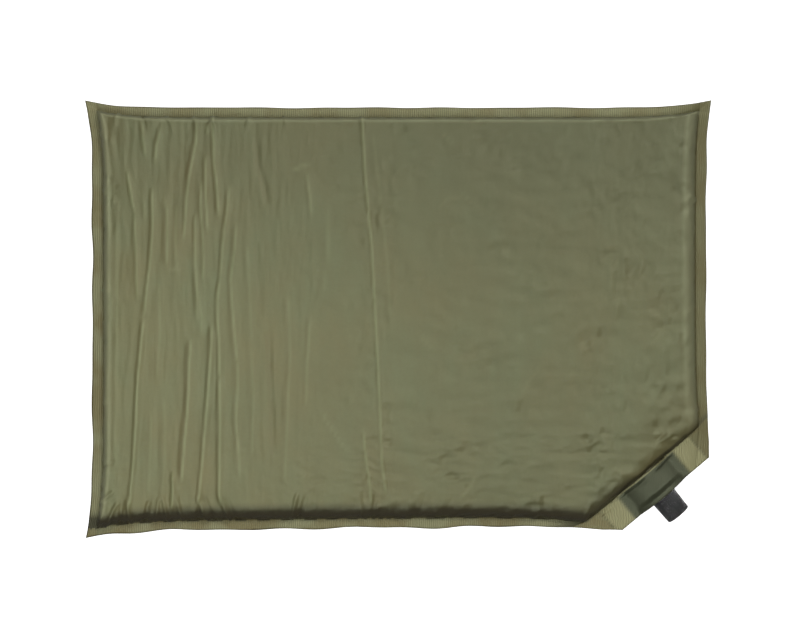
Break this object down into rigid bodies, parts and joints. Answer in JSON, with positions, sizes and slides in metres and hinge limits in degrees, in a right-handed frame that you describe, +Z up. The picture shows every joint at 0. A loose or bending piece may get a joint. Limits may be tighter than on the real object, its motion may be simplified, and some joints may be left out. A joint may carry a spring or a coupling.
{
  "type": "self-inflating foam pad",
  "caption": "Self-inflating foam pad in a welded fabric cover, with a ribbed twist valve in its cut corner. It folds over at its crease, and the cap unscrews to let air through.",
  "frame": {"origin": "middle of the pad's underside, on the surface that it lies on", "axes": "+X along the pad towards the valve's end, +Y across it away from the valve, +Z up out of the pad's upper face"},
  "size_m": [0.5, 0.35, 0.03],
  "materials": {
    "cover_fabric": "olive coated woven polyester, satin",
    "under_fabric": "olive coated woven polyester, matte",
    "foam": "open-cell polyurethane foam",
    "weldable_plastic": "matte soft thermoplastic",
    "stem_plastic": "satin moulded plastic",
    "stopper_rubber": "matte silicone rubber",
    "cap_plastic": "glossy moulded plastic",
    "seal_rubber": "greased nitrile rubber"
  },
  "bodies": {
    "pad": {"top_cover": "cover_fabric", "bottom_cover": "under_fabric", "foam_core_right": "foam", "valve_boat": "weldable_plastic", "valve_stem": "stem_plastic", "valve_stopper": "stopper_rubber"},
    "folding_half": {"foam_core_left": "foam"},
    "cap_travel": {"cap_seal": "seal_rubber"},
    "cap": {"valve_cap": "cap_plastic"}
  },
  "joints": [
    {"name": "pad_fold", "type": "hinge", "parent": "pad", "child": "folding_half", "pos_m": [-0.016, 0, 0.0304], "axis": [0, 1, 0], "range_deg": [0, 180], "stiffness_Nm_per_rad": 0.15, "deforming": ["top_cover", "bottom_cover"]},
    {"name": "cap_lift", "type": "slide", "parent": "pad", "child": "cap_travel", "axis": [0.6428, -0.766, 0], "range_m": [0, 0.004]},
    {"name": "cap_turn", "type": "hinge", "parent": "cap_travel", "child": "cap", "pos_m": [0.21211, -0.14119, 0.015], "axis": [0.6428, -0.766, 0], "range_deg": [0, 360]}
  ],
  "couplings": [
    {"joint": "cap_lift", "follows": "cap_turn", "m_per_rad": 0.00063662}
  ]
}
